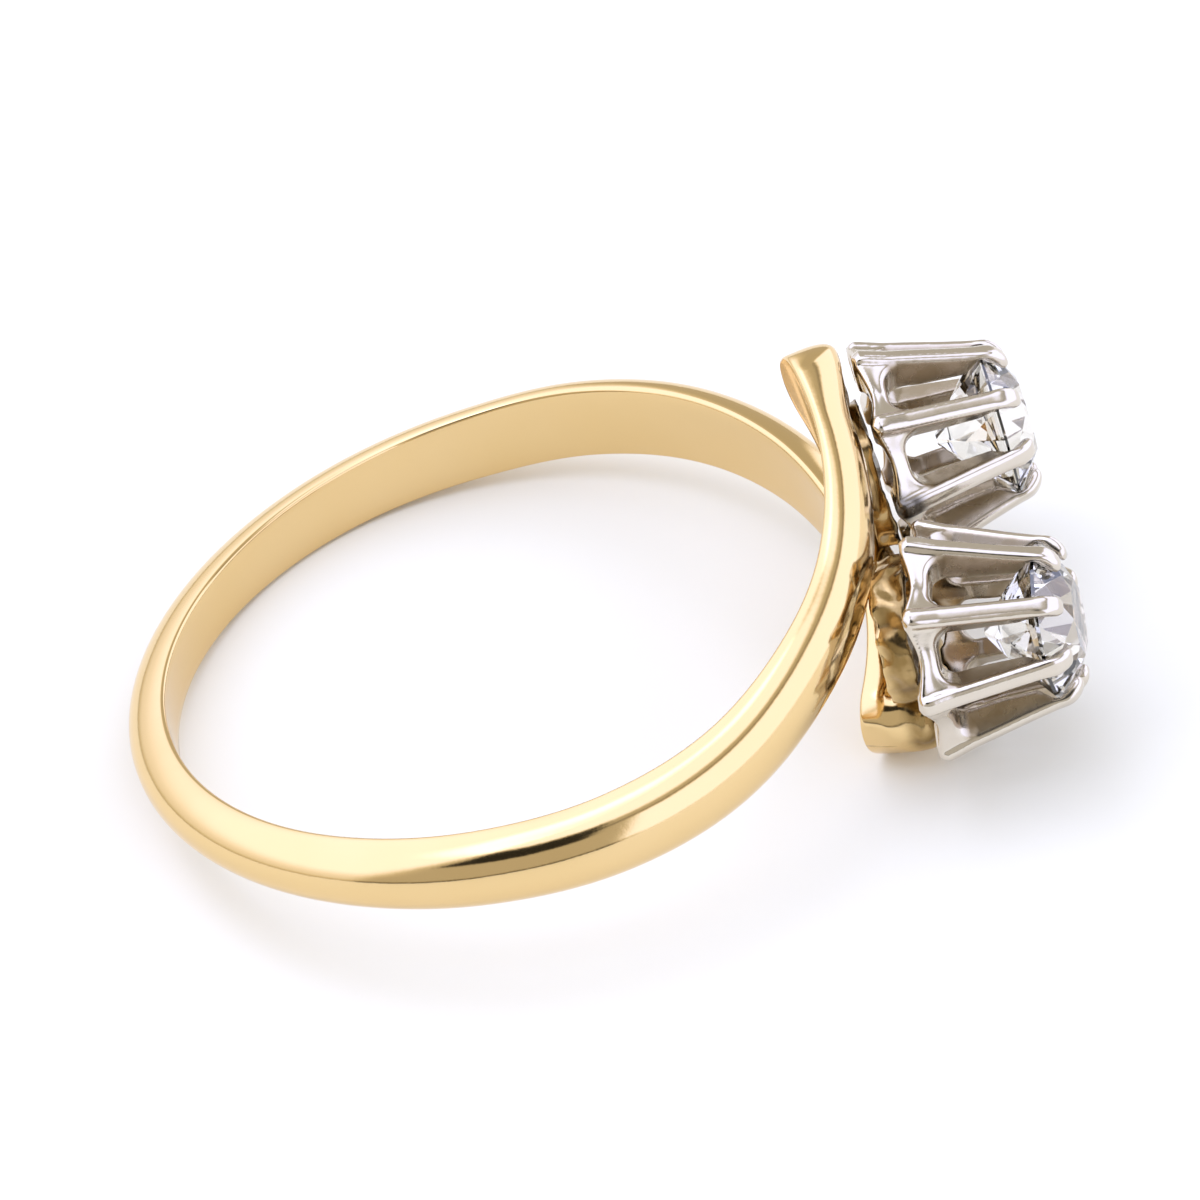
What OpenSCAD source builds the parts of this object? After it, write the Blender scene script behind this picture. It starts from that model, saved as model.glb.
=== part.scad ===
// Two-stone crossover ring: an open gold band whose two shoulders pass each other,
// and two white-metal claw crowns, each with a round old-cut stone.
// Ring frame: X runs from the finger's centre to the head, Z along the finger.
// The last module lays the ring down on its side, as it rests on a table.

/* [Shank] */
// Inside diameter of the finger hole
finger_d = 17; // [16:0.1:18]
// Thickness of the band at the top of its dome
band_t = 1.08; // [0.95:0.01:1.2]
// Thickness of the band at its two edges
edge_t = 0.12; // [0.08:0.01:0.2]
// Width of the band at the back of the finger
back_w = 1.36; // [1.2:0.02:1.8]
// Width of the band at its shoulders
shoulder_w = 2.12; // [1.9:0.02:2.3]
// Angle from the back of the ring to the tip of the near shoulder
near_end = 203.6; // [202:0.1:205]
// Angle from the back of the ring to the tip of the far shoulder
far_end = 202; // [200:0.1:204]
// Length over which a shoulder narrows to its rounded tip
tip_round = 0.9; // [0.6:0.05:1.05]
// Length over which a shoulder thins to its rounded tip
tip_bevel = 0.5; // [0.3:0.05:0.6]
// How much the near shoulder thickens towards its tip
near_swell = 0.3; // [0:0.05:0.4]
// How much the near shoulder thins before that
near_thin = 0.12; // [0:0.01:0.15]
// How much the far shoulder thickens towards its tip
far_swell = 0.85; // [0.5:0.05:0.95]
// Roundness of the domed outside, 2 is an ellipse
dome_power = 2.2; // [2:0.1:3]

/* [Crowns] */
// Height of a crown's foot above the finger's axis
foot_x = 9.68; // [9.6:0.01:9.8]
// Distance of each crown's axis from the ring's middle plane, round the finger
crown_y = 2.9; // [2.85:0.01:3.1]
// Distance of each crown's axis from the ring's middle plane, along the finger
crown_z = 0.76; // [0.7:0.01:1]
// How much further out the near crown stands than the far one, halved
crown_step = 0.19; // [0:0.01:0.2]
// Outward lean of each crown
crown_lean = 6.6; // [4:0.1:8]
// Radius over the claws at a crown's foot
foot_r = 2.96; // [2.9:0.01:2.98]
// Radius over the claws where they start to bend over the stone
neck_r = 2.08; // [2.05:0.01:2.2]
// Height of that bend above the foot
neck_h = 3.15; // [3.1:0.01:3.2]
// Height of the claws' tips above the foot
tip_h = 3.72; // [3.68:0.01:3.8]
// Radius of the hollow inside the foot
hollow_r = 1.95; // [1.9:0.01:2.1]
// Number of claws on each crown
claws = 8; // [8:1:8]
// Thickness of a claw, round the crown
claw_t = 0.5; // [0.4:0.02:0.6]
// Height of the gallery wall between two claws
gallery_h = 0.66; // [0.6:0.02:0.9]
// Corner radius at the bottom of the openings between claws
arch_r = 0.48; // [0.4:0.02:0.5]
// Depth of the flute in the gallery between two claws
flute = 0.42; // [0.3:0.02:0.5]
// Height of the notch in the gallery's lower edge between two claws
notch_h = 0.2; // [0.1:0.01:0.25]
// Turn of the first claw of the far crown from the finger's direction
far_turn = -3.8; // [-8:0.1:0]
// Turn of the first claw of the near crown from the finger's direction
near_turn = -2.4; // [-8:0.1:0]

/* [Seats] */
// Radius of the gold seat under a crown, at its top
seat_r = 1.9; // [1.85:0.05:2.1]
// Radius of a seat at its underside
seat_foot_r = 1.8; // [1.75:0.05:1.9]
// Radius of the hole in a seat
seat_hole = 1.2; // [1:0.05:1.4]
// How far a seat lies from its crown's axis, towards the ring's middle
seat_in = 0.6; // [0.5:0.05:0.7]
// Height of the seats' undersides above the finger's axis
seat_x = 8.9; // [8.8:0.01:8.92]

/* [Stones] */
// Diameter of a stone at its girdle
stone_d = 3.7; // [3.6:0.02:3.74]
// Height of the girdle's lower edge above the crown's foot
girdle_h = 3; // [2.96:0.01:3.04]
// Table width as a share of the diameter
table_share = 0.46; // [0.42:0.01:0.55]
// Culet width as a share of the diameter
culet_share = 0.07; // [0.04:0.01:0.1]
// Slope of the facets round the table
crown_angle = 37; // [34:0.5:39]
// Slope of the facets under the girdle
pavilion_angle = 41; // [39:0.5:43]

/* [Fit] */
// Clearance between a crown and its seat, its stone and the other crown
gap = 0.03; // [0.02:0.005:0.05]

/* [Rest] */
// Tilt that lifts the head when the ring lies on its side
rest_tilt = 7.76; // [7.7:0.01:7.8]
// Roll about the head's axis when the ring lies on its side
rest_roll = -7.76; // [-7.9:0.01:-7.7]
// Shift along X that centres the resting ring on the origin
rest_x = -2.176; // [-3:0.001:-1]
// Shift along Y that centres the resting ring on the origin
rest_y = 0.002; // [-1:0.001:1]
// Height of the finger hole's centre above the table
rest_z = 2.458; // [2:0.001:3]

/* [Hidden] */
finger_r = finger_d / 2;
// Rise of the two shoulders out of the ring's plane, along the finger.
// Columns: angle from the back, rise of the near shoulder, fall of the far one.
ANGLE = 0;
NEAR = 1;
FAR = 2;
climb = [
    [0, 0, 0],
    [60, 0, 0],
    [85, -0.08, -0.03],
    [105, -0.13, -0.16],
    [125, 0.08, -0.04],
    [145, 0.72, 0.45],
    [160, 1.25, 1.12],
    [172, 1.86, 1.74],
    [185, 2.58, 2.38],
    [203, 3.58, 3.2]
];
last_row = len(climb) - 1;
// Sections along the band and points over its dome
band_steps = 96;
dome_steps = 12;
// How far the sections reach inside the finger hole before it is cut out
under = 0.25;
// Angle from the back at which the band has the width of its shoulders
wide_at = 125;
// Angle from the back at which the near shoulder starts to thin, and the angle that it takes
thin_at = 110;
thin_span = 40;
// Angles from the back at which the shoulders start to thicken, and the angle that it takes
near_swell_at = 188;
far_swell_at = 174;
swell_span = 16;
// How much squarer than the dome the section is at the tips
tip_square = 2;
// Shares of its width and of its thickness that the band still has at the very tip
tip_width_left = 0.2;
tip_height_left = 0.45;
// Length of the cutter that opens the finger hole
through = 40;
// Radius and height of the cutter that flattens the shoulders under a crown
flat_r = foot_r + 1.2;
flat_h = 4;
// Turn of each stone in its crown
near_stone_turn = 11;
far_stone_turn = 4;

// Slope of one column of the climb table at row i
function slope(i, col) =
    let (a = max(i - 1, 0), b = min(i + 1, last_row))
    (climb[b][col] - climb[a][col]) / (climb[b][ANGLE] - climb[a][ANGLE]);

// Row of the climb table at which angle a's span starts
function span(a, i = 0) = i == last_row - 1 || a < climb[i + 1][ANGLE] ? i : span(a, i + 1);

// Value of one column of the climb table at angle a, on a smooth curve
function rise(a, col) =
    let (i = span(a), h = climb[i + 1][ANGLE] - climb[i][ANGLE], t = (a - climb[i][ANGLE]) / h)
    climb[i][col] * (1 + 2 * t) * pow(1 - t, 2) + climb[i + 1][col] * t * t * (3 - 2 * t)
    + slope(i, col) * h * t * pow(1 - t, 2) - slope(i + 1, col) * h * t * t * (1 - t);

// Height of the band's centre line at the signed angle a: near side positive
function centre_z(a) = a >= 0 ? rise(a, NEAR) : -rise(-a, FAR);
function ease(t) = let (c = min(max(t, 0), 1)) c * c * (3 - 2 * c);
function band_w(a) = back_w + (shoulder_w - back_w) * ease(abs(a) / wide_at);

// Share of the swelling that the band has at the signed angle a
function swollen(a) = ease((abs(a) - (a > 0 ? near_swell_at : far_swell_at)) / swell_span);

// Thickness of the band at the signed angle a
function band_d(a) =
    let (thin = a > 0 ? near_thin * ease((a - thin_at) / thin_span) : 0)
    band_t - thin + (thin + (a > 0 ? near_swell : far_swell)) * swollen(a);

// Angle of the tip on the side of the signed angle a
function end_at(a) = a > 0 ? near_end : far_end;

// Rise of a quarter circle from 0 at the tip to 1 where this length of the shoulder is left
function tip_share(a, length) =
    let (left = (end_at(a) - abs(a)) * PI / 180 * finger_r, q = min(left / length, 1))
    sqrt(max(1 - pow(1 - q, 2), 0));

// Point of the band at the signed angle a, s across from -1 to 1, d above the finger hole
function band_point(a, s, d) =
    let (
        step = 0.5,
        climb_rate = (centre_z(a + step) - centre_z(a - step)) / (2 * step * PI / 180 * finger_r),
        lie = atan(climb_rate),
        across = s * band_w(a) / 2,
        turn = a - across * sin(lie) / finger_r * 180 / PI,
        r = finger_r + d
    )
    [-r * cos(turn), -r * sin(turn), centre_z(a) + across * cos(lie)];

// Closed outline of one section: the flat inside, then over the dome
function section(a) =
    let (
        k = max(tip_share(a, tip_round), tip_width_left),
        bevel = tip_height_left + (1 - tip_height_left) * tip_share(a, tip_bevel),
        dome = bevel * band_d(a) - edge_t,
        power = dome_power + tip_square * swollen(a)
    )
    concat(
        [band_point(a, k, -under), band_point(a, -k, -under)],
        [for (i = [0 : dome_steps])
            let (
                s = -cos(180 * i / dome_steps),
                d = edge_t + dome * sqrt(max(1 - pow(abs(s), power), 0))
            )
            band_point(a, k * s, d)]
    );

// Signed angle of section i, closer together at the tips
function station(i) =
    let (
        cap = tip_round / finger_r * 180 / PI,
        caps = 6,
        body = band_steps - 2 * caps
    )
    i < caps ? -far_end + cap * (1 - cos(90 * i / caps))
    : i > band_steps - caps ? near_end - cap * (1 - cos(90 * (band_steps - i) / caps))
    : -far_end + cap + (far_end + near_end - 2 * cap) * (i - caps) / body;

// Skin over a list of closed outlines with equal numbers of points
module skin(outlines) {
    n = len(outlines[0]);
    m = len(outlines);
    faces = concat(
        [[for (j = [0 : n - 1]) n - 1 - j]],
        [[for (j = [0 : n - 1]) (m - 1) * n + j]],
        [for (i = [0 : m - 2], j = [0 : n - 1])
            [i * n + j, i * n + (j + 1) % n, (i + 1) * n + (j + 1) % n]],
        [for (i = [0 : m - 2], j = [0 : n - 1])
            [i * n + j, (i + 1) * n + (j + 1) % n, (i + 1) * n + j]]
    );
    polyhedron(points = [for (o = outlines, p = o) p], faces = faces);
}

// Moves a crown's own frame, foot at the origin and axis up, to its place.
// side is 1 for the far crown and -1 for the near one
module at_crown(side) {
    translate([foot_x - side * crown_step, side * crown_y, side * crown_z])
        rotate([0, 0, side * crown_lean])
        rotate([0, 90, 0])
        children();
}

// Gold ring plate that carries one crown, from the shoulders up to the crown's foot
module seat(side) {
    thickness = foot_x - side * crown_step - seat_x;
    past = 1;
    translate([0, -side * seat_in, -thickness])
        difference() {
            cylinder(h = thickness - gap, r1 = seat_foot_r, r2 = seat_r, $fn = 64);
            translate([0, 0, -past]) cylinder(h = thickness + 2 * past, r = seat_hole, $fn = 64);
        }
}

module shank() {
    color("gold")
        at_rest()
        difference() {
            union() {
                skin([for (i = [0 : band_steps]) section(station(i))]);
                at_crown(1) seat(1);
                at_crown(-1) seat(-1);
            }
            translate([0, 0, -through / 2]) cylinder(h = through, r = finger_r, $fn = 128);
            // Flat tops of the shoulders under the crowns
            for (side = [-1, 1])
                at_crown(side) translate([0, 0, -gap]) cylinder(h = flat_h, r = flat_r, $fn = 64);
        }
}

// Wall of a crown as a solid of revolution: the claws and the gallery are cut from it.
// Its outline is radii and heights: up the outside, over the claws' tips, down past the
// groove that holds the stone's girdle and the hollow under the stone
module crown_wall() {
    stone_r = stone_d / 2;
    rotate_extrude($fn = 96)
        polygon([
            [hollow_r, 0],
            [foot_r, 0],
            [neck_r, neck_h],
            [neck_r - 0.1, neck_h + 0.25],
            [neck_r - 0.32, tip_h - 0.1],
            [neck_r - 0.55, tip_h],
            [neck_r - 0.68, tip_h - 0.06],
            [stone_r + gap, girdle_h + 0.14],
            [stone_r + gap, girdle_h - 0.04],
            [stone_r - 0.3, girdle_h - 0.34],
            [hollow_r - 0.25, 1.2]
        ]);
}

// Wedge between two neighbouring claws, inset from their sides, from height low up
module wedge(inset, low) {
    half = 180 / claws;
    side = claw_t / 2 + inset;
    apex = side / sin(half);
    far = 5;
    over = 6;
    translate([0, 0, low])
        linear_extrude(height = over)
        polygon([[apex, 0], [far, (far - apex) * tan(half)], [far, -(far - apex) * tan(half)]]);
}

// Opening between two neighbouring claws, with rounded lower corners. The corners'
// cylinders reach a little past the sides and the floor, so that no faces just touch
module opening() {
    half = 180 / claws;
    past_side = 0.01;
    past_floor = 0.04;
    upper_wedge_at = 0.9 * arch_r;
    lower_wedge_in = 0.8 * arch_r;
    corner_from = 0.3;
    corner_length = 5;
    wedge(past_side, gallery_h + upper_wedge_at);
    wedge(lower_wedge_in, gallery_h + past_floor);
    for (m = [-1, 1])
        rotate([0, 0, m * half])
        translate([corner_from, -m * (claw_t / 2 + arch_r), gallery_h + arch_r])
        rotate([0, 90, 0])
        cylinder(h = corner_length, r = arch_r, $fn = 32);
}

// Hollows in the outside and the lower edge of the gallery between two claws
module scallops() {
    hollow = 0.95;
    hollow_from = -1;
    hollow_length = 3;
    flare = atan((foot_r - neck_r) / neck_h);
    notch = 0.6;
    notch_length = 5;
    translate([foot_r + hollow - flute, 0, 0])
        rotate([0, -flare, 0])
        translate([0, 0, hollow_from])
        cylinder(h = hollow_length, r = hollow, $fn = 48);
    translate([0, 0, notch_h - notch])
        rotate([0, 90, 0])
        cylinder(h = notch_length, r = notch, $fn = 32);
}

module crown(turn) {
    rotate([0, 0, turn])
        difference() {
            crown_wall();
            for (k = [0 : claws - 1])
                rotate([0, 0, 360 * (k + 0.5) / claws]) {
                    opening();
                    scallops();
                }
        }
}

module near_crown() {
    color("silver") at_rest() at_crown(-1) crown(near_turn);
}

module far_crown() {
    color("silver") at_rest() at_crown(1) crown(far_turn);
}

// Ring of n points at radius r and height z, turned by a
function ring(n, r, z, a = 0) = [for (i = [0 : n - 1]) [r * cos(a + 360 * i / n), r * sin(a + 360 * i / n), z]];

// Round old-cut stone: table, stars, kites, girdle, pavilion and culet
module stone() {
    n = 8;
    half = 180 / n;
    R = stone_d / 2;
    girdle_t = 0.09;
    table_r = R * table_share / cos(half);
    culet_r = R * culet_share;
    // Height over the girdle of a main facet at the radius r along its middle
    function up(r) = girdle_t + (R - r) * tan(crown_angle);
    function down(r) = -(R - r) * tan(pavilion_angle);
    star_r = (table_r + R) / 2;
    lower_share = 0.5;
    lower_r = R * lower_share;
    points = concat(
        ring(n, table_r, up(table_r)),
        ring(n, star_r, up(star_r * cos(half)), half),
        ring(2 * n, R, girdle_t),
        ring(2 * n, R, 0),
        ring(n, lower_r, down(lower_r * cos(half)), half),
        ring(n, culet_r, down(culet_r))
    );
    T = 0;
    S = n;
    G = 2 * n;
    B = 4 * n;
    L = 6 * n;
    C = 7 * n;
    faces = concat(
        [[for (i = [0 : n - 1]) T + n - 1 - i]],
        [[for (i = [0 : n - 1]) C + i]],
        [for (i = [0 : n - 1]) let (j = (i + 1) % n, h = (i + n - 1) % n) each [
            [T + i, T + j, S + i],
            [T + i, S + i, G + 2 * i, S + h],
            [S + i, G + 2 * i + 1, G + 2 * i],
            [S + i, G + 2 * j, G + 2 * i + 1],
            [L + i, B + 2 * i, B + 2 * i + 1],
            [L + i, B + 2 * i + 1, B + 2 * j],
            [C + i, L + h, B + 2 * i, L + i],
            [C + i, L + i, C + j]
        ]],
        [for (i = [0 : 2 * n - 1]) let (j = (i + 1) % (2 * n))
            [G + i, G + j, B + j, B + i]]
    );
    translate([0, 0, girdle_h]) polyhedron(points = points, faces = faces);
}

module near_stone() {
    color("lightcyan") at_rest() at_crown(-1) rotate([0, 0, near_stone_turn]) stone();
}

module far_stone() {
    color("lightcyan") at_rest() at_crown(1) rotate([0, 0, far_stone_turn]) stone();
}

// Lays the ring on its side
module at_rest() {
    translate([rest_x, rest_y, rest_z])
        rotate([rest_roll, 0, 0])
        rotate([0, -rest_tilt, 0])
        children();
}

shank();
near_crown();
far_crown();
near_stone();
far_stone();
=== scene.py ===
"""Crossover ring with two stones in claw crowns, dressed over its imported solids.

The gold band with its seats and the two crowns are built finer here than in the solids,
from the same sizes in millimetres in the ring's own frame: X runs to the head, Z along the
finger. The ring is then laid down with the same turn as the solids. The stones keep their
solids and get a clear stone's material.
"""

import math

import bmesh
import bpy
import numpy as np
from mathutils import Matrix, Vector, noise


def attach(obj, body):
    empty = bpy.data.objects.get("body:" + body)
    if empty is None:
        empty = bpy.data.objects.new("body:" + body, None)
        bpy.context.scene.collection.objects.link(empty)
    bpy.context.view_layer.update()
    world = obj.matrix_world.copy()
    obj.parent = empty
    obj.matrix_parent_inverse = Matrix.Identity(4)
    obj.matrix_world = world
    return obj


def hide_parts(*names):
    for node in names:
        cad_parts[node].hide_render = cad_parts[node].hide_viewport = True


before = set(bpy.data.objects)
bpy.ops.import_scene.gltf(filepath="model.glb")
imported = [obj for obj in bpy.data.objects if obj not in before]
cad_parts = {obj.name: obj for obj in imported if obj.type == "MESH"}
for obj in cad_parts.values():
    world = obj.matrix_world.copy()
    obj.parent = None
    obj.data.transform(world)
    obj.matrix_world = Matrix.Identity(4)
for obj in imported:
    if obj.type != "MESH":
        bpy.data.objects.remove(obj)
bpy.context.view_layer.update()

MM = 0.001

# How the ring lies: tilt that lifts the head and roll about it, in degrees, and place in mm
REST_TILT = -7.76
REST_ROLL = -7.76
REST_PLACE = (-2.176, 0.002, 2.458)
LAID = (
    Matrix.Scale(MM, 4)
    @ Matrix.Translation(REST_PLACE)
    @ Matrix.Rotation(math.radians(REST_ROLL), 4, "X")
    @ Matrix.Rotation(math.radians(REST_TILT), 4, "Y")
)

# Band: sizes in mm and angles from its back in degrees, as in the solids
FINGER_R = 8.5
# Thickness in the middle and at the edges
BAND_T = 1.08
EDGE_T = 0.12
# Width at the back, and at the shoulders from this angle on
BACK_W = 1.36
SHOULDER_W = 2.12
WIDE_AT = 125.0
# Angles at which the two shoulders end
NEAR_END = 203.6
FAR_END = 202.0
# Length of a tip's rounding and of its bevel, and share of its thickness at the very end
TIP_ROUND = 0.9
TIP_BEVEL = 0.5
TIP_HEIGHT_LEFT = 0.45
# How much thinner the near side gets, from this angle on and over this span
NEAR_THIN = 0.12
THIN_AT = 110.0
THIN_SPAN = 40.0
# How much thicker the tips get, from these angles on and over this span
NEAR_SWELL = 0.3
FAR_SWELL = 0.85
NEAR_SWELL_AT = 188.0
FAR_SWELL_AT = 174.0
SWELL_SPAN = 16.0
# Power of the dome's curve, and what the swelling adds to it
DOME_POWER = 2.2
TIP_SQUARE = 2.0
# Share of its width that the fine skin still has at the very tip
TIP_WIDTH_LEFT = 0.05
# How far the fine skin lies inside the solid's arcs, to stay in the box of its facets
SHY = 0.012
# Sections along each rounded tip and between the tips, and steps over the dome
TIP_STATIONS = 14
BODY_STATIONS = 420
DOME_STEPS = 44
# Half the angle over which the band's climb is measured
CLIMB_STEP = 0.5
# Angle from the back, rise of the near shoulder and fall of the far one
CLIMB = np.array(
    [
        (0, 0, 0),
        (60, 0, 0),
        (85, -0.08, -0.03),
        (105, -0.13, -0.16),
        (125, 0.08, -0.04),
        (145, 0.72, 0.45),
        (160, 1.25, 1.12),
        (172, 1.86, 1.74),
        (185, 2.58, 2.38),
        (203, 3.58, 3.2),
    ]
)
# Columns of CLIMB
NEAR, FAR = 1, 2

# Crowns, in mm and degrees: the far crown stands on side 1, the near one on side -1. Middle
# of a foot, half the step outwards from the far to the near one, and lean
FOOT_X = 9.68
CROWN_Y = 2.9
CROWN_Z = 0.76
CROWN_STEP = 0.19
CROWN_LEAN = 6.6
# Outside at the foot and at the neck, height of the neck, and hollow inside the foot
FOOT_R = 2.96
NECK_R = 2.08
NECK_H = 3.15
HOLLOW_R = 1.95
# Claws and their thickness
CLAWS = 8
CLAW_T = 0.5
# Gallery between the claws: height, radius of its arches, depth of its scallops and notches
GALLERY_H = 0.66
ARCH_R = 0.48
FLUTE = 0.42
NOTCH_H = 0.2
# Turns of the crowns about their own axes
FAR_TURN = -3.8
NEAR_TURN = -2.4
# Seats: radii at the top, the foot and the hole, shift to the ring's middle, and X of the foot
SEAT_R = 1.9
SEAT_FOOT_R = 1.8
SEAT_HOLE = 1.2
SEAT_IN = 0.6
SEAT_X = 8.9
# Gap between a crown and the gold under it
GAP = 0.03
# Radius of the flat on the shoulders under each crown
FLAT_R = FOOT_R + 1.2
# Share of a rounded edge's radius at which its middle point stands in from both faces
SOFT = 0.3


def new_object(name, verts, faces, matrix, smooth=True):
    """Mesh object of this name from vertices in mm, placed by the matrix."""
    mesh = bpy.data.meshes.new(name)
    mesh.from_pydata([matrix @ Vector(v) for v in verts], [], faces)
    mesh.update()
    bm = bmesh.new()
    bm.from_mesh(mesh)
    bmesh.ops.recalc_face_normals(bm, faces=bm.faces)
    bm.to_mesh(mesh)
    bm.free()
    mesh.polygons.foreach_set("use_smooth", [smooth] * len(mesh.polygons))
    obj = bpy.data.objects.new(name, mesh)
    bpy.context.scene.collection.objects.link(obj)
    return obj


def skin(outlines, closed=False):
    """Vertices and faces of a skin over closed outlines, capped unless it closes on itself."""
    n, m = len(outlines[0]), len(outlines)
    verts = [tuple(p) for o in outlines for p in o]
    faces = []
    for i in range(m if closed else m - 1):
        a, b = i * n, (i + 1) % m * n
        for j in range(n):
            k = (j + 1) % n
            faces.append((a + j, a + k, b + k, b + j))
    if not closed:
        faces += [tuple(range(n - 1, -1, -1)), tuple((m - 1) * n + j for j in range(n))]
    return verts, faces


def merged(parts):
    """One list of vertices and faces from several."""
    verts, faces = [], []
    for v, f in parts:
        base = len(verts)
        verts += v
        faces += [tuple(base + i for i in face) for face in f]
    return verts, faces


# The band's mesh


def rise(angle, column):
    """Value of one column of CLIMB at the angle, on a smooth curve."""
    x, y = CLIMB[:, 0], CLIMB[:, column]
    slope = np.empty(len(x))
    slope[1:-1] = (y[2:] - y[:-2]) / (x[2:] - x[:-2])
    slope[0] = (y[1] - y[0]) / (x[1] - x[0])
    slope[-1] = (y[-1] - y[-2]) / (x[-1] - x[-2])
    i = min(max(int(np.searchsorted(x, angle, side="right")) - 1, 0), len(x) - 2)
    h = x[i + 1] - x[i]
    t = (angle - x[i]) / h
    return (
        y[i] * (1 + 2 * t) * (1 - t) ** 2
        + y[i + 1] * t * t * (3 - 2 * t)
        + slope[i] * h * t * (1 - t) ** 2
        - slope[i + 1] * h * t * t * (1 - t)
    )


def centre_z(a):
    """Height of the band's middle at the signed angle from the back, near side positive."""
    return rise(a, NEAR) if a >= 0 else -rise(-a, FAR)


def ease(t):
    """Smooth step from 0 to 1."""
    c = min(max(t, 0.0), 1.0)
    return c * c * (3 - 2 * c)


def band_w(a):
    """Width of the band at the signed angle."""
    return BACK_W + (SHOULDER_W - BACK_W) * ease(abs(a) / WIDE_AT)


def band_t(a):
    """Thickness at the signed angle: the near side thins first, and both swell at the tips."""
    if a <= 0:
        return BAND_T + FAR_SWELL * swollen(a)
    thin = NEAR_THIN * ease((a - THIN_AT) / THIN_SPAN)
    return BAND_T - thin + (NEAR_SWELL + thin) * swollen(a)


def swollen(a):
    """Share of the swelling that the band has at the signed angle."""
    return ease((abs(a) - (NEAR_SWELL_AT if a > 0 else FAR_SWELL_AT)) / SWELL_SPAN)


def band_section(power):
    """Outline of the band's section as (share across, share of the dome, height under it)."""
    # Rounded inner corners: their width as a share of half the band's, and their points
    corner = 0.1
    corner_turns = (12, 30, 50, 70, 90)
    # Points across the flat inside
    inside_shares = (0.6, 0.3, 0.0, -0.3, -0.6)
    dome = []
    for i in range(DOME_STEPS + 1):
        s = -math.cos(math.pi * i / DOME_STEPS)
        dome.append((s, math.sqrt(max(1 - abs(s) ** power, 0)), EDGE_T))
    right = []
    for t in map(math.radians, corner_turns):
        right.append((1 - corner * (1 - math.cos(t)), 0, EDGE_T * (1 - math.sin(t))))
    left = [(-s, 0, d) for s, _, d in reversed(right)]
    inside = [(s, 0, 0.0) for s in inside_shares]
    return dome + right + inside + left


def quarter(q):
    """Rise of a quarter circle from 0 to 1."""
    return math.sqrt(max(1 - (1 - min(max(q, 0.0), 1.0)) ** 2, 0))


def under_crowns(point):
    """The point, lowered to the flat under a crown if it stands above it."""
    for side in (-1, 1):
        place = crown_place(side)
        p = place.inverted() @ Vector(point)
        if p.z > -GAP and math.hypot(p.x, p.y) < FLAT_R:
            p.z = -GAP
            point = tuple(place @ p)
    return point


def band_angles():
    """Signed angles of the band's sections, closer together at the rounded tips."""
    cap = math.degrees(TIP_ROUND / FINGER_R)
    tip = [cap * (1 - math.cos(math.pi / 2 * i / TIP_STATIONS)) for i in range(TIP_STATIONS)]
    far = [t - FAR_END for t in tip]
    near = [NEAR_END - t for t in reversed(tip)]
    return far + list(np.linspace(cap - FAR_END, NEAR_END - cap, BODY_STATIONS)) + near


def band_outline(a):
    """Outline of the band at the signed angle, narrowed and thinned at the tips."""
    left = math.radians((NEAR_END if a > 0 else FAR_END) - abs(a)) * FINGER_R
    k = max(quarter(left / TIP_ROUND), TIP_WIDTH_LEFT)
    bevel = TIP_HEIGHT_LEFT + (1 - TIP_HEIGHT_LEFT) * quarter(left / TIP_BEVEL)
    height = bevel * band_t(a) - EDGE_T - SHY
    run = math.radians(2 * CLIMB_STEP) * FINGER_R
    lie = math.atan((centre_z(a + CLIMB_STEP) - centre_z(a - CLIMB_STEP)) / run)
    outline = []
    for s, share, base in band_section(DOME_POWER + TIP_SQUARE * swollen(a)):
        r = FINGER_R + (base + height * share)
        across = k * s * (band_w(a) / 2 - SHY)
        turn = math.radians(a) - across * math.sin(lie) / FINGER_R
        z = centre_z(a) + across * math.cos(lie)
        outline.append(under_crowns((-r * math.cos(turn), -r * math.sin(turn), z)))
    return outline


def shank_band():
    """The open hoop with its two shoulders."""
    return skin([band_outline(a) for a in band_angles()])


# The meshes of the crowns and of their seats


def crown_place(side):
    """A crown's own frame, foot at the origin and axis up, in the ring's frame."""
    return (
        Matrix.Translation((FOOT_X - side * CROWN_STEP, side * CROWN_Y, side * CROWN_Z))
        @ Matrix.Rotation(math.radians(side * CROWN_LEAN), 4, "Z")
        @ Matrix.Rotation(math.radians(90), 4, "Y")
    )


def into_crowns():
    """For each side, the turn from the ring's frame into its crown's own."""
    return {side: crown_place(side).inverted() for side in (-1, 1)}


def lathe(profile, steps=96):
    """Vertices and faces of a closed profile of (radius, height) turned about Z."""
    rings = []
    for i in range(steps):
        t = 2 * math.pi * i / steps
        rings.append([(r * math.cos(t), r * math.sin(t), z) for r, z in profile])
    return skin(rings, closed=True)


# Steps down a seat's wall
SEAT_STEPS = 10


def seat(side):
    """Gold ring plate under a crown, with soft edges."""
    h = FOOT_X - side * CROWN_STEP - SEAT_X
    # Radius of the soft edges
    e = 0.1
    top, out, inner = -GAP, SEAT_R, SEAT_HOLE
    wall = []
    for i in range(1, SEAT_STEPS):
        k = i / SEAT_STEPS
        wall.append((out + (SEAT_FOOT_R - out) * k, top - e - (h + top - e) * k))
    profile = [
        (inner + e, top),
        (out - e, top),
        (out - SOFT * e, top - SOFT * e),
        (out, top - e),
        *wall,
        (SEAT_FOOT_R, -h),
        (inner, -h),
        (inner, top - e),
        (inner + SOFT * e, top - SOFT * e),
    ]
    verts, faces = lathe(profile)
    place = crown_place(side) @ Matrix.Translation((0, -side * SEAT_IN, 0))
    return [tuple(place @ Vector(v)) for v in verts], faces


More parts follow.
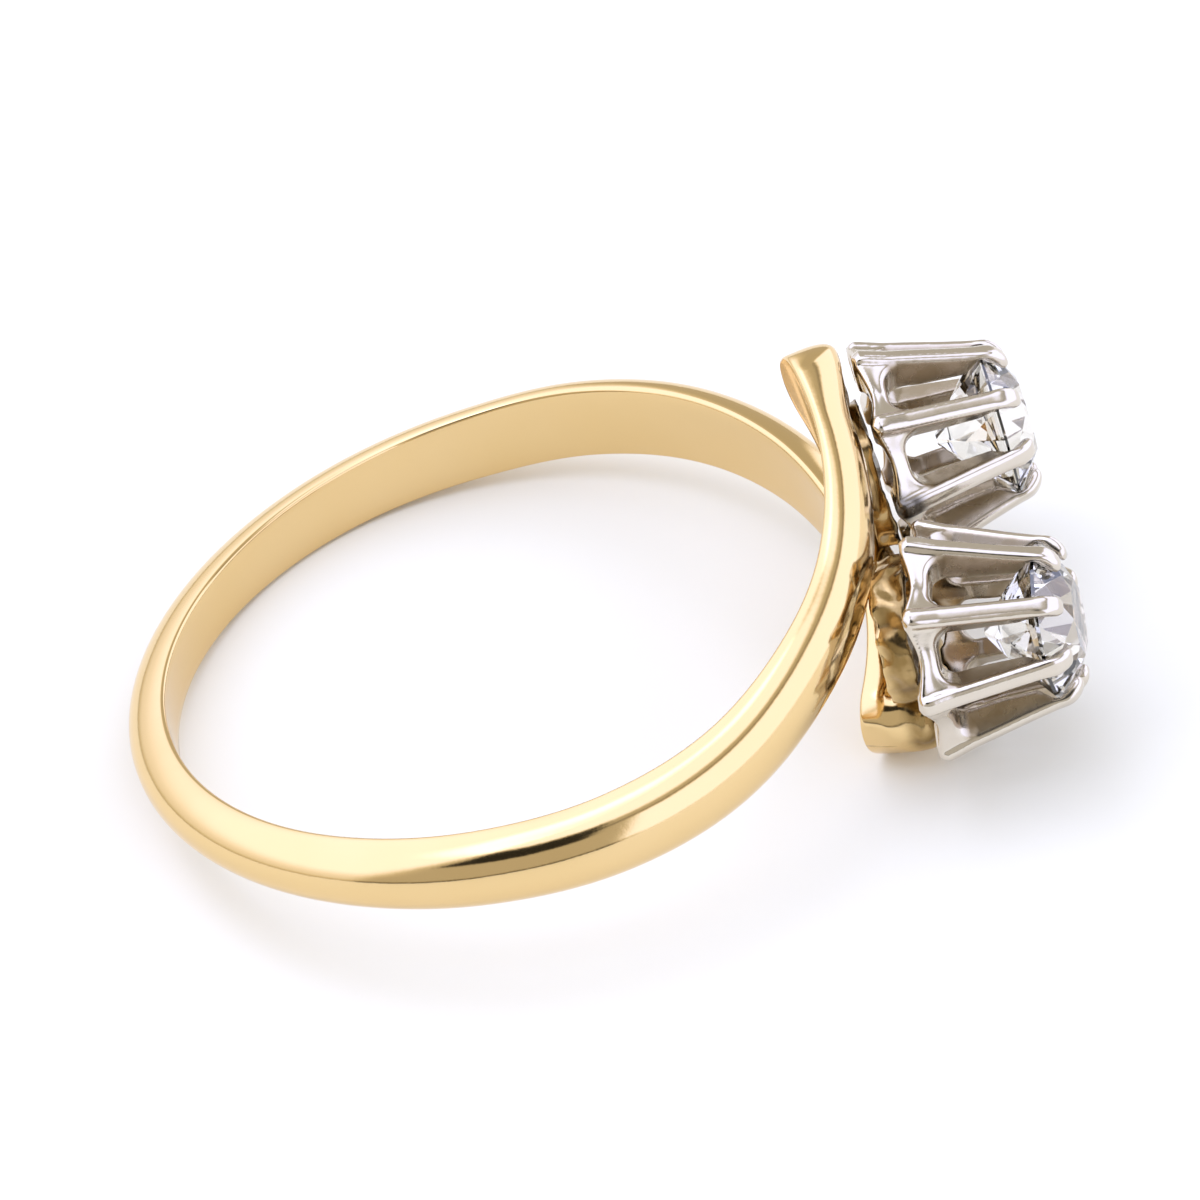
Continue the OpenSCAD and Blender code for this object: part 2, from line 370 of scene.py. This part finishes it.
# Sections along a claw: outer radius and height, inner radius and height, share of width
CLAW_PATH = [
    (2.60, 0.02, 2.0, 0.02, 0.7),
    (2.78, 0.05, 1.97, 0.05, 0.9),
    (2.90, 0.14, 1.96, 0.12, 1.0),
    (2.945, 0.26, 1.95, 0.2, 1.0),
    (2.90, 0.42, 1.94, 0.36, 1.0),
    (2.72, 0.9, 1.84, 0.9, 1.0),
    (2.52, 1.6, 1.72, 1.5, 1.0),
    (2.31, 2.3, 1.66, 2.1, 1.0),
    (2.17, 2.8, 1.62, 2.6, 1.0),
    (2.10, 3.06, 1.80, 2.86, 1.0),
    (2.06, 3.24, 1.885, 2.98, 1.0),
    (2.01, 3.38, 1.87, 3.13, 1.0),
    (1.93, 3.50, 1.72, 3.26, 0.98),
    (1.82, 3.60, 1.60, 3.37, 0.95),
    (1.69, 3.67, 1.50, 3.46, 0.88),
    (1.56, 3.69, 1.43, 3.54, 0.7),
    (1.47, 3.67, 1.41, 3.59, 0.4),
]


# Radii of a claw's rounded outer and inner edges: at most this in mm, at most this share of
# the claw's depth, and at most this share of half its width
CLAW_OUTER_ROUND = (0.17, 0.45, 0.8)
CLAW_INNER_ROUND = (0.06, 0.3, 0.5)
CLAW_ROUND_POINTS = 6


def claw_round(limits, depth, half):
    """Radius of a rounded edge where the claw has this depth and half this width."""
    most, of_depth, of_half = limits
    return min(most, of_depth * depth, of_half * half)


def claw():
    """Radial plate of one claw along +X, its outer edges rounded, bent in over the stone."""
    outlines = []
    for ro, zo, ri, zi, share in CLAW_PATH:
        half = CLAW_T / 2 * share
        depth = math.hypot(ro - ri, zo - zi)
        outer = claw_round(CLAW_OUTER_ROUND, depth, half)
        inner = claw_round(CLAW_INNER_ROUND, depth, half)
        outline = []
        for radius, at_outer, signs in ((outer, True, (1, -1)), (inner, False, (-1, 1))):
            for sign in signs:
                arc = []
                for i in range(CLAW_ROUND_POINTS):
                    t = math.pi / 2 * i / (CLAW_ROUND_POINTS - 1)
                    across = half - radius + radius * math.cos(t)
                    back = radius * (1 - math.sin(t))
                    f = back / depth if at_outer else 1 - back / depth
                    arc.append((ro + (ri - ro) * f, sign * across, zo + (zi - zo) * f))
                rising = (at_outer and sign == 1) or (not at_outer and sign == -1)
                outline += arc if rising else arc[::-1]
        outlines.append(outline)
    return skin(outlines)


def gallery():
    """Wall round the foot with a scallop and an arch between every two claws."""
    # Sections from one claw to the next, and radius of the soft edges
    steps = 24
    e = 0.09
    # How far the wall's outside stands in from the claws, and its foot up from theirs
    set_back = 0.05
    set_up = 0.03
    # How full the scallops' arcs are, and how fast an arch's side is left from a claw
    fullness = 1.2
    spread = 2.45
    # Share of its height by which the outside leans in, and width of its soft upper edge
    lean = 0.28
    soft_rim = 0.05
    # Hollow at the top of the wall
    top_hollow = HOLLOW_R - 0.15
    rings = []
    for i in range(CLAWS * steps):
        share = (i % steps) / steps
        t = 2 * math.pi * i / (CLAWS * steps)
        # 0 at the claws' middle planes, 1 half-way between them
        mid = 1 - abs(2 * share - 1)
        arc = math.sin(math.pi / 2 * mid) ** fullness
        out = FOOT_R - set_back - FLUTE * arc
        gone = math.pi / CLAWS * mid * spread - CLAW_T / 2
        lift = 1 - math.sqrt(max(1 - max(1 - gone / ARCH_R, 0) ** 2, 0))
        top = GALLERY_H + ARCH_R * lift
        low = set_up + NOTCH_H * arc
        taper = lean * (top - low)
        brim = out - taper - soft_rim
        profile = [
            (HOLLOW_R + e, low),
            (out - e, low),
            (out - SOFT * e, low + SOFT * e),
            (out, low + e),
            (out - 0.5 * taper, (low + top) / 2),
            (out - taper + SOFT * e, top - e),
            (brim, top - SOFT * e),
            (brim - e, top),
            (top_hollow + e, top),
            (top_hollow + SOFT * e, top - SOFT * e),
            (top_hollow, top - e),
            (HOLLOW_R, low + e),
            (HOLLOW_R + SOFT * e, low + SOFT * e),
        ]
        rings.append([(r * math.cos(t), r * math.sin(t), z) for r, z in profile])
    return skin(rings, closed=True)


# Size in mm of the cells in which a crown is fused, and rounds of polish over it
CELL = 0.035
POLISH = 8


def crown(name, side, turn):
    """One crown: claws and gallery run together into one smooth casting."""
    one, faces = claw()
    parts = [gallery()]
    for k in range(CLAWS):
        spin = Matrix.Rotation(2 * math.pi * k / CLAWS, 4, "Z")
        parts.append(([tuple(spin @ Vector(v)) for v in one], faces))
    verts, faces = merged(parts)
    place = crown_place(side) @ Matrix.Rotation(math.radians(turn), 4, "Z")
    obj = new_object(name, verts, faces, LAID @ place)
    remesh = obj.modifiers.new("fuse", "REMESH")
    remesh.mode = "VOXEL"
    remesh.voxel_size = CELL * MM
    remesh.use_smooth_shade = True
    smooth = obj.modifiers.new("polish", "SMOOTH")
    smooth.factor = 0.5
    smooth.iterations = POLISH
    dg = bpy.context.evaluated_depsgraph_get()
    fused = bpy.data.meshes.new_from_object(obj.evaluated_get(dg))
    obj.modifiers.clear()
    obj.data = fused
    fused.name = name
    fused.polygons.foreach_set("use_smooth", [True] * len(fused.polygons))
    # Painted shade on the claws' sides, inside the crown and between the two crowns
    paint_shade(fused, side)
    return obj


# Painted shade in the recesses and in the crevices, and dents in the soldered gold


# Edges of the painted shade in the recesses and in the crevices on a crown, and widths over
# which they fade, in mm: behind the crown's outside, over the gallery, outwards from the
# hollow, below the neck, away from the ring's middle, and up from the foot
BEHIND_OUTSIDE = (0.06, 0.16)
OVER_GALLERY = (0.02, 0.25)
FROM_HOLLOW = (0.12, 0.1)
BELOW_NECK_FADE = 0.3
OFF_MIDDLE = (0.42, 0.25)
OFF_FOOT = (1.0, 0.5)
# Fade of the painted shade and of the dents of the gold towards the outside of a foot
FOOT_FADE = 0.4
# Share, depth and fade of the painted shade in the recesses and in the crevices of the gold
# under the crowns
GOLD_RECESS_SHADE = (0.9, 1.0, 0.4)
GOLD_CREVICE_SHADE = (0.8, 0.18, 0.1)


# Mask of the painted shade on the claws' sides and inside the crown
def behind_claws(q):
    """1 where a point of a crown's own frame lies well behind the crown's outside."""
    r = math.hypot(q.x, q.y)
    outside = FOOT_R + (NECK_R - FOOT_R) * q.z / NECK_H
    behind = ease((outside - r - BEHIND_OUTSIDE[0]) / BEHIND_OUTSIDE[1])
    over = ease((q.z - GALLERY_H - OVER_GALLERY[0]) / OVER_GALLERY[1])
    inside_wall = ease((HOLLOW_R + FROM_HOLLOW[0] - r) / FROM_HOLLOW[1])
    return max(behind * over, inside_wall) * ease((NECK_H - q.z) / BELOW_NECK_FADE)


# Mask of the painted shade in the crevice between the two crowns
def between_crowns(p, q):
    """1 where a point of a crown, in the ring's and its own frame, is close to the other foot."""
    middle = ease((OFF_MIDDLE[0] - abs(p.y)) / OFF_MIDDLE[1])
    return middle * ease((OFF_FOOT[0] - q.z) / OFF_FOOT[1])


# Mask under a foot, for the painted shade and for the dents of the gold
def under_foot(q, depth, fade):
    """1 where a point of a crown's own frame lies closer under its foot than this depth."""
    inside = ease((FOOT_R - math.hypot(q.x, q.y)) / FOOT_FADE)
    return inside * ease((q.z + depth) / fade)


def paint_shade(mesh, side=None):
    """Notes in each point how much painted shade it gets in a recess and how much in a crevice.

    The mesh is the crown of the given side, or the band where no side is given.
    """
    back = LAID.inverted()
    frames = into_crowns()
    recess, crevice = [], []
    for v in mesh.vertices:
        p = back @ v.co
        if side:
            q = frames[side] @ p
            recess.append(behind_claws(q))
            crevice.append(between_crowns(p, q))
        else:
            feet = [frames[s] @ p for s in frames]
            for notes, (most, depth, fade) in ((recess, GOLD_RECESS_SHADE), (crevice, GOLD_CREVICE_SHADE)):
                notes.append(most * max(under_foot(q, depth, fade) for q in feet))
    for name, values in (("recess", recess), ("crevice", crevice)):
        mesh.attributes.new(name, "FLOAT", "POINT").data.foreach_set("value", values)


# Depth and width of the dents in the soldered gold, in mm, and for each crown how far under
# it they reach and fade out
DENT_DEPTH = 0.16
DENT_WIDTH = 0.56
DENT_REACH = {-1: (1.35, 0.5), 1: (0.6, 0.3)}


def dent(mesh, hoop_points):
    """Sinks the uneven dents of hand soldering into the gold under the crowns.

    The mesh's first points, as many as hoop_points says, are the hoop's. Its near shoulder
    lies above z = 0 and keeps its polish beside the near crown.
    """
    back = LAID.inverted()
    frames = into_crowns()
    inwards = [-v.normal for v in mesh.vertices]
    for v, inward in zip(mesh.vertices, inwards):
        p = back @ v.co
        sides = (1,) if v.index < hoop_points and p.z > 0 else (-1, 1)
        share = max(under_foot(frames[side] @ p, *DENT_REACH[side]) for side in sides)
        v.co += inward * share * DENT_DEPTH * MM * ease(0.5 + noise.noise(p / DENT_WIDTH))


# Materials


class Nodes:
    """Shorthand for a material's node tree."""

    def __init__(self, material):
        material.use_nodes = True
        self.tree = material.node_tree
        self.shader = self.tree.nodes["Principled BSDF"]

    def add(self, kind, **settings):
        """New node with these inputs or properties set."""
        node = self.tree.nodes.new(kind)
        for key, value in settings.items():
            if key in node.inputs:
                node.inputs[key].default_value = value
            else:
                setattr(node, key, value)
        return node

    def link(self, a, b):
        """Links an output to an input."""
        self.tree.links.new(a, b)


def ramp(nodes, fac, stops):
    """Colour ramp over fac with stops of (position, colour)."""
    node = nodes.add("ShaderNodeValToRGB")
    elements = node.color_ramp.elements
    while len(elements) < len(stops):
        elements.new(0.5)
    for element, (at, colour) in zip(elements, stops):
        element.position = at
        element.color = (*colour, 1)
    nodes.link(fac, node.inputs["Fac"])
    return node


# Sockets of a mix node for colours and for numbers: the two inputs and the output
MIX_SOCKETS = {"RGBA": (6, 7, 2), "FLOAT": (2, 3, 0)}
# Colour of the painted shade in the narrow crevices between the pieces
CREVICE_SHADE = (0.035, 0.028, 0.02)
# Heights of the waves and of the scratches on the metals, in metres
WAVE_HEIGHT = 0.00004
SCRATCH_HEIGHT = 0.000004


def mixed(n, kind, share, before, after):
    """Output of a mix from the linked value to the set one, by the linked share."""
    first, second, result = MIX_SOCKETS[kind]
    mix = n.add("ShaderNodeMix", data_type=kind)
    n.link(share, mix.inputs["Factor"])
    n.link(before, mix.inputs[first])
    mix.inputs[second].default_value = after
    return mix.outputs[result]


def metal(name, tones, rough, scratch, wave, recess):
    """Polished metal: tones drift slowly, with fine scratches, a slight hand-worked wave and
    painted shade in recesses and crevices.

    tones are the two ends of its colour and rough of its roughness, scratch and wave the
    strengths of the bumps, recess the colour and the roughness of the painted shade in the
    recesses.
    """
    material = bpy.data.materials.new(name)
    n = Nodes(material)
    where = n.add("ShaderNodeTexCoord").outputs["Object"]
    drift = n.add("ShaderNodeTexNoise", Scale=260.0, Detail=3.0)
    n.link(where, drift.inputs["Vector"])
    colour = ramp(n, drift.outputs["Fac"], [(0.3, tones[0]), (0.7, tones[1])]).outputs["Color"]
    fine = n.add("ShaderNodeTexNoise", Scale=5200.0, Detail=4.0, Roughness=0.65)
    n.link(where, fine.inputs["Vector"])
    spread = n.add("ShaderNodeMapRange")
    spread.inputs["To Min"].default_value, spread.inputs["To Max"].default_value = rough
    n.link(fine.outputs["Fac"], spread.inputs["Value"])
    roughness = spread.outputs["Result"]
    # Noise that mottles the painted shade in the recesses and the crevices
    shade_mottle = n.add("ShaderNodeTexNoise", Scale=1500.0, Detail=3.0)
    n.link(where, shade_mottle.inputs["Vector"])
    patchy = n.add("ShaderNodeMapRange")
    patchy.inputs["From Min"].default_value = 0.35
    patchy.inputs["From Max"].default_value = 0.6
    patchy.inputs["To Min"].default_value = 0.6
    n.link(shade_mottle.outputs["Fac"], patchy.inputs["Value"])
    # Painted shade: darker colour and other roughness in the recesses and the crevices
    for attribute, dark in (("recess", recess[0]), ("crevice", CREVICE_SHADE)):
        depth = n.add("ShaderNodeAttribute", attribute_name=attribute).outputs["Fac"]
        both = n.add("ShaderNodeMath", operation="MULTIPLY")
        n.link(depth, both.inputs[0])
        n.link(patchy.outputs["Result"], both.inputs[1])
        share = both.outputs[0]
        colour = mixed(n, "RGBA", share, colour, (*dark, 1))
        roughness = mixed(n, "FLOAT", share, roughness, recess[1])
    n.link(colour, n.shader.inputs["Base Color"])
    n.link(roughness, n.shader.inputs["Roughness"])
    n.shader.inputs["Metallic"].default_value = 1.0
    long = n.add("ShaderNodeTexNoise", Scale=420.0, Detail=2.0)
    n.link(where, long.inputs["Vector"])
    worked = n.add("ShaderNodeBump", Strength=wave, Distance=WAVE_HEIGHT)
    n.link(long.outputs["Fac"], worked.inputs["Height"])
    marks = n.add("ShaderNodeBump", Strength=scratch, Distance=SCRATCH_HEIGHT)
    n.link(fine.outputs["Fac"], marks.inputs["Height"])
    n.link(worked.outputs["Normal"], marks.inputs["Normal"])
    n.link(marks.outputs["Normal"], n.shader.inputs["Normal"])
    return material


# Refraction of the stones, chosen below a diamond's 2.42
STONE_IOR = 1.9
# Tints of the stones, and their greatest cloudiness
STONE_TINTS = ((0.84, 0.81, 0.74), (0.91, 0.88, 0.81))
STONE_HAZE = 0.03


def diamond():
    """Clear stone with a faint drifting tint and cloudiness."""
    material = bpy.data.materials.new("old_cut_diamond")
    n = Nodes(material)
    n.shader.inputs["Transmission Weight"].default_value = 1.0
    n.shader.inputs["IOR"].default_value = STONE_IOR
    where = n.add("ShaderNodeTexCoord").outputs["Object"]
    cloud = n.add("ShaderNodeTexNoise", Scale=900.0, Detail=2.0)
    n.link(where, cloud.inputs["Vector"])
    tint = ramp(n, cloud.outputs["Fac"], [(0.3, STONE_TINTS[0]), (0.7, STONE_TINTS[1])])
    n.link(tint.outputs["Color"], n.shader.inputs["Base Color"])
    haze = n.add("ShaderNodeMapRange")
    haze.inputs["To Min"].default_value = 0.0
    haze.inputs["To Max"].default_value = STONE_HAZE
    n.link(cloud.outputs["Fac"], haze.inputs["Value"])
    n.link(haze.outputs["Result"], n.shader.inputs["Roughness"])
    return material


GOLD = metal(
    "yellow_gold",
    tones=((0.775, 0.56, 0.265), (0.79, 0.58, 0.29)),
    rough=(0.06, 0.14),
    scratch=0.3,
    wave=0.22,
    # Colour and roughness of the painted shade on the gold under the crowns
    recess=((0.22, 0.135, 0.04), 0.25),
)
WHITE_METAL = metal(
    "white_metal",
    tones=((0.655, 0.592, 0.50), (0.705, 0.642, 0.545)),
    rough=(0.10, 0.2),
    scratch=0.3,
    wave=0.25,
    # Colour and roughness of the painted shade on the claws' sides and inside the crown
    recess=((0.40, 0.325, 0.22), 0.3),
)
DIAMOND = diamond()


def dress(obj, material, slot, *nodes):
    """Gives the piece its material and lets it stand for these nodes; the slot is not used."""
    obj.data.materials.clear()
    obj.data.materials.append(material)
    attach(obj, "root")
    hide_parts(*nodes)


hoop = shank_band()
band = new_object("gold_band", *merged([hoop, seat(1), seat(-1)]), LAID)
# Painted shade on the gold under the crowns and in the crevices at their feet
paint_shade(band.data)
dent(band.data, len(hoop[0]))
dress(band, GOLD, "gold", "shank")
for name, side, turn in (("near", -1, NEAR_TURN), ("far", 1, FAR_TURN)):
    dress(crown(name + "_claw_crown", side, turn), WHITE_METAL, "white_metal", name + "_crown")
    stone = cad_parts[name + "_stone"]
    for material_slot in stone.material_slots:
        material_slot.material = DIAMOND

# Floor, light and camera


def plain(name, colour, roughness):
    """Matt material of the stage."""
    material = bpy.data.materials.new(name)
    n = Nodes(material)
    n.shader.inputs["Base Color"].default_value = (*colour, 1)
    n.shader.inputs["Roughness"].default_value = roughness
    return material


def card(name, size, centre, towards, material):
    """Flat rectangle of the stage that faces a point."""
    w, h = size[0] / 2, size[1] / 2
    turn = (Vector(towards) - Vector(centre)).to_track_quat("Z", "Y").to_matrix().to_4x4()
    place = Matrix.Translation(centre) @ turn
    corners = [(-w, -h, 0), (w, -h, 0), (w, h, 0), (-w, h, 0)]
    obj = new_object(name, corners, [(0, 1, 2, 3)], place, smooth=False)
    obj.data.materials.append(material)
    return obj


# Metres across
FLOOR_SIZE = (3.0, 3.0)
FLOOR_WHITE = plain("floor_white", (0.925, 0.905, 0.76), 0.6)
card("floor", FLOOR_SIZE, (0, 0, 0), (0, 0, 1), FLOOR_WHITE)

# Camera at the photo's angle, its distance in metres and its focal length as a share of
# the sensor's width
RING = Vector(REST_PLACE) * MM
VIEW_ELEVATION = math.radians(42.86)
VIEW_AZIMUTH = math.radians(2.88)
VIEW_ROLL = math.radians(-8.68)
VIEW_DISTANCE = 0.1915
FOCAL_SHARE = 6.608
SENSOR_WIDTH = 36.0
# Where the ring's centre stands in the picture, in mm right and down of its middle
RING_RIGHT = -2.163
RING_DOWN = 0.949


def add_camera():
    """Camera at the photo's angle: long lens, leaning to the left."""
    data = bpy.data.cameras.new("camera")
    data.sensor_width = SENSOR_WIDTH
    data.lens = SENSOR_WIDTH * FOCAL_SHARE
    data.clip_start = 0.01
    data.clip_end = 10.0
    camera = bpy.data.objects.new("camera", data)
    bpy.context.scene.collection.objects.link(camera)
    turn = (
        Matrix.Rotation(VIEW_AZIMUTH, 4, "Z")
        @ Matrix.Rotation(math.pi / 2 - VIEW_ELEVATION, 4, "X")
        @ Matrix.Rotation(VIEW_ROLL, 4, "Z")
    )
    back = Matrix.Translation((-RING_RIGHT * MM, RING_DOWN * MM, VIEW_DISTANCE))
    camera.matrix_world = Matrix.Translation(RING) @ turn @ back
    bpy.context.scene.camera = camera


add_camera()


# Soft boxes of the studio round the ring, over its base light. Azimuth 0 is behind the
# camera and 90 to its right. Columns: azimuth from and to, elevation from and to, softness
# of the edges, light. A negative light is a dark card
STUDIO_BASE = 0.62
STUDIO = [
    (-172, -52, 4, 80, 5, 0.5),
    (-172, -52, 20, 80, 12, 0.55),
    (-180, 180, 64, 92, 4, 1.0),
    (20, 158, 0, 50, 3, 1.0),
    (-43, 8, 42, 66, 3, -0.75),
    (6, 158, 51, 55, 2, -0.3),
    (-52, 25, -1, 4, 1.5, -0.45),
]
# Colours of the dim and of the bright light, and the strengths between which they blend
DIM_LIGHT = (1.0, 0.95, 0.86, 1)
BRIGHT_LIGHT = (0.95, 1.0, 1.34, 1)
BLEND = (0.8, 1.6)
# Least strength of the light, where a dark card takes away more than there is
DARKEST = 0.03


def studio():
    """World of soft boxes and dark cards, by the direction that they are seen in."""
    world = bpy.data.worlds.new("studio")
    world.use_nodes = True
    tree = world.node_tree
    background = tree.nodes["Background"]

    def calc(operation, *values):
        """Output of a sum over numbers and other outputs."""
        node = tree.nodes.new("ShaderNodeMath")
        node.operation = operation
        for socket, value in zip(node.inputs, values):
            if isinstance(value, (int, float)):
                socket.default_value = value
            else:
                tree.links.new(value, socket)
        return node.outputs[0]

    def edge(value, middle, softness):
        """Smooth step from 0 to 1 where the value passes the middle."""
        node = tree.nodes.new("ShaderNodeMapRange")
        node.interpolation_type = "SMOOTHSTEP"
        node.inputs["From Min"].default_value = middle - softness
        node.inputs["From Max"].default_value = middle + softness
        tree.links.new(value, node.inputs["Value"])
        return node.outputs["Result"]

    where = tree.nodes.new("ShaderNodeTexCoord").outputs["Generated"]
    parts = tree.nodes.new("ShaderNodeSeparateXYZ")
    tree.links.new(where, parts.inputs[0])
    x, y, z = parts.outputs
    azimuth = calc("MULTIPLY", calc("ARCTAN2", x, calc("MULTIPLY", y, -1.0)), math.degrees(1))
    elevation = calc("MULTIPLY", calc("ARCSINE", z), math.degrees(1))
    total = STUDIO_BASE
    for left, right, low, high, softness, light in STUDIO:
        mask = calc("MULTIPLY", edge(elevation, low, softness), light)
        mask = calc("MULTIPLY", mask, calc("SUBTRACT", 1.0, edge(elevation, high, softness)))
        if left > -180:
            mask = calc("MULTIPLY", mask, edge(azimuth, left, softness))
        if right < 180:
            mask = calc("MULTIPLY", mask, calc("SUBTRACT", 1.0, edge(azimuth, right, softness)))
        total = calc("ADD", mask, total)
    strength = calc("MAXIMUM", total, DARKEST)
    tree.links.new(strength, background.inputs["Strength"])
    share = tree.nodes.new("ShaderNodeMapRange")
    share.inputs["From Min"].default_value, share.inputs["From Max"].default_value = BLEND
    tree.links.new(strength, share.inputs["Value"])
    tone = tree.nodes.new("ShaderNodeMix")
    tone.data_type = "RGBA"
    dim, bright, blended = MIX_SOCKETS["RGBA"]
    tone.inputs[dim].default_value = DIM_LIGHT
    tone.inputs[bright].default_value = BRIGHT_LIGHT
    tree.links.new(share.outputs["Result"], tone.inputs["Factor"])
    tree.links.new(tone.outputs[blended], background.inputs["Color"])
    bpy.context.scene.world = world


studio()
bpy.context.scene.view_settings.view_transform = "Standard"
